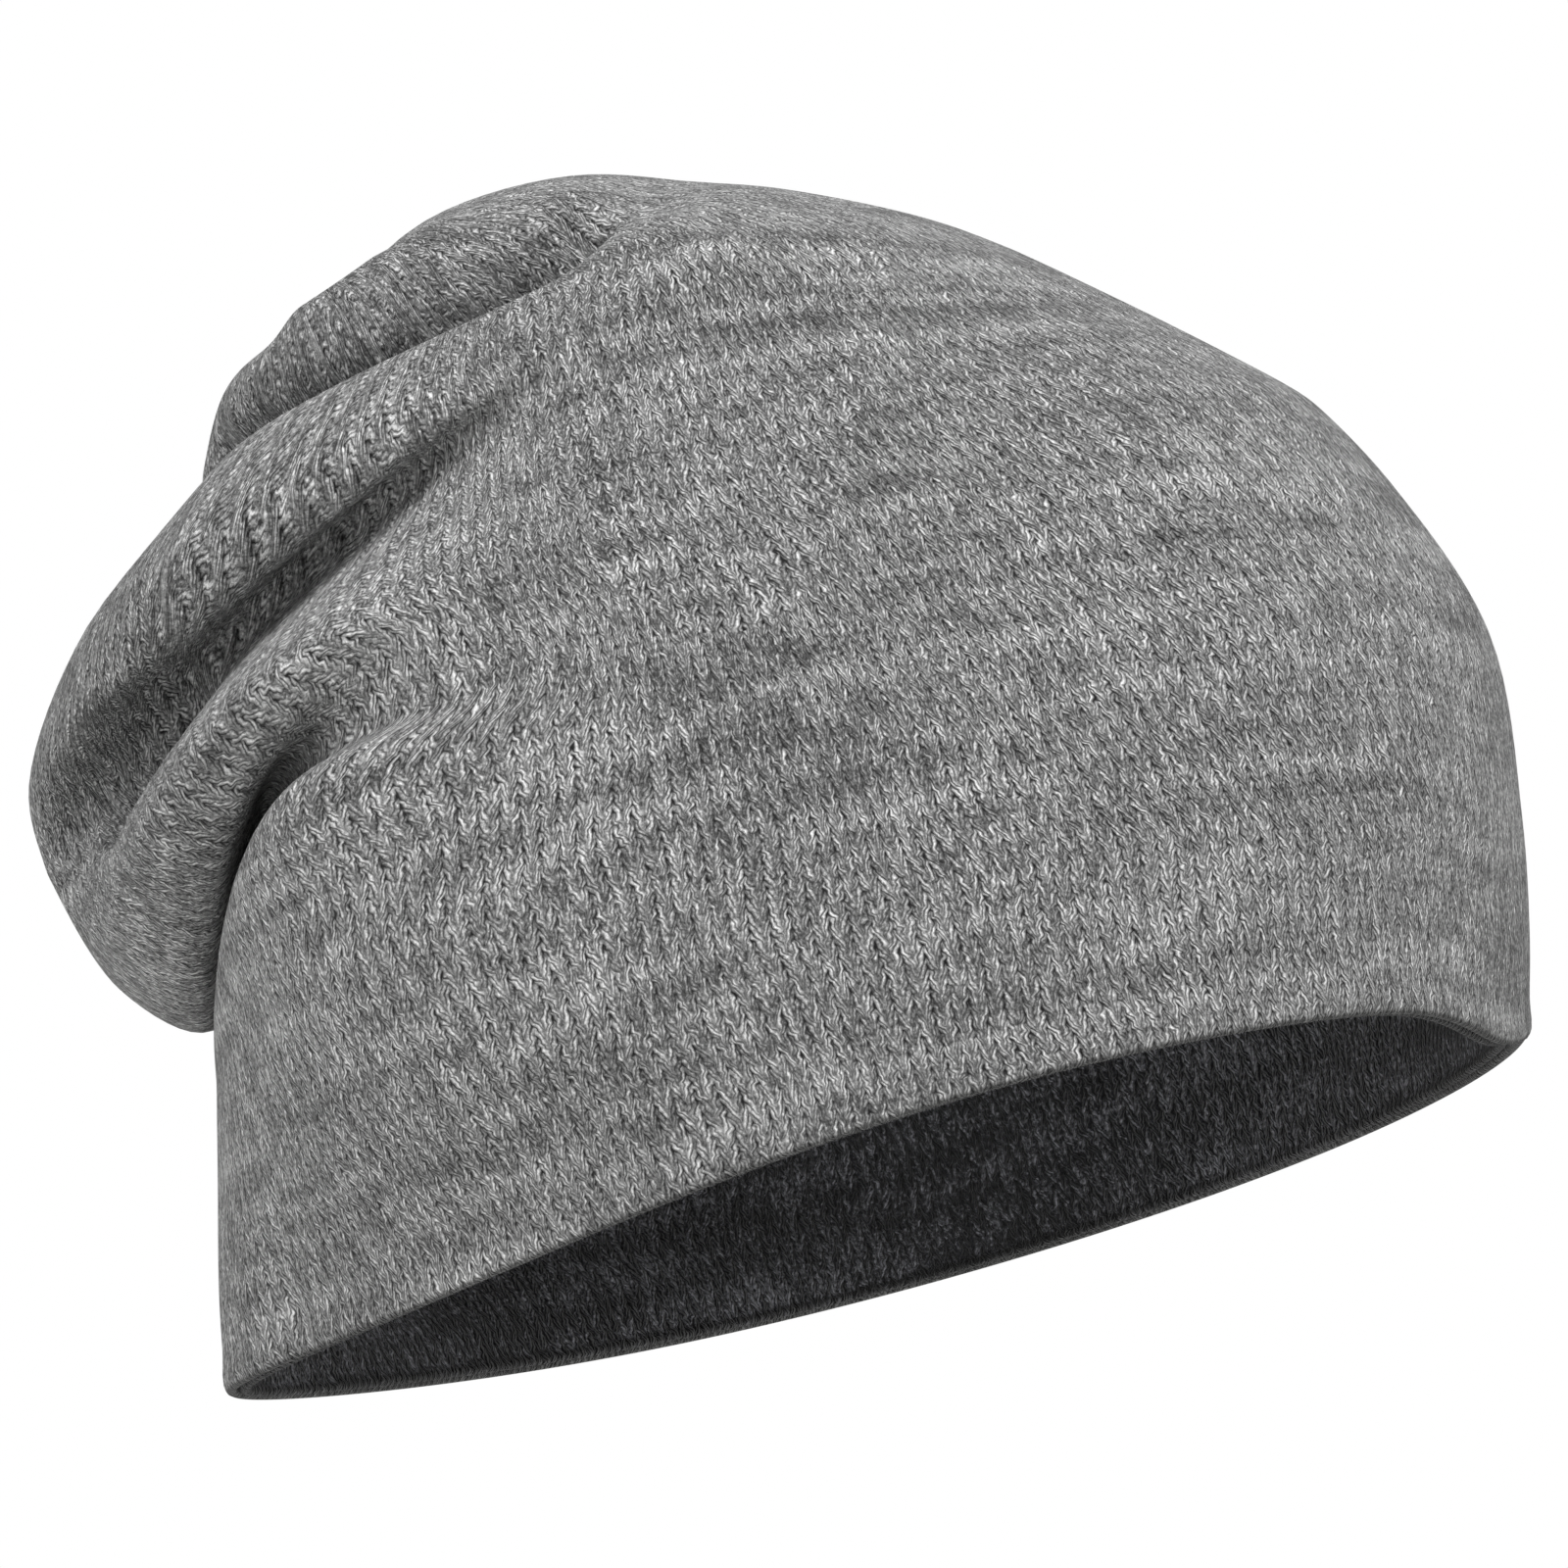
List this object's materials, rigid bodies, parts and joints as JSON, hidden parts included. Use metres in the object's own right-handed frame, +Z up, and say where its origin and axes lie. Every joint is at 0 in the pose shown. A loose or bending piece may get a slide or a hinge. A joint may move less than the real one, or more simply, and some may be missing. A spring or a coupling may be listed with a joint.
{
  "type": "slouchy beanie",
  "caption": "Slouchy double-layer jersey beanie in its worn form: the slack hangs behind in soft rolls, open below for the head, grey outside and charcoal inside.",
  "frame": {"origin": "middle of the head opening, halfway along and across the rim", "axes": "+X towards the brow, +Y towards the wearer's left, +Z up; the rim is tilted 15.6 degrees, brow up, as the beanie is worn"},
  "size_m": [0.2167, 0.1584, 0.1783],
  "materials": {
    "heather_grey_jersey": "soft matt stocking-stitch jersey, melange of light and dark grey fibres",
    "charcoal_jersey": "soft matt charcoal jersey"
  },
  "bodies": {
    "root": {"outer_layer": "heather_grey_jersey", "lining": "charcoal_jersey"}
  },
  "joints": []
}
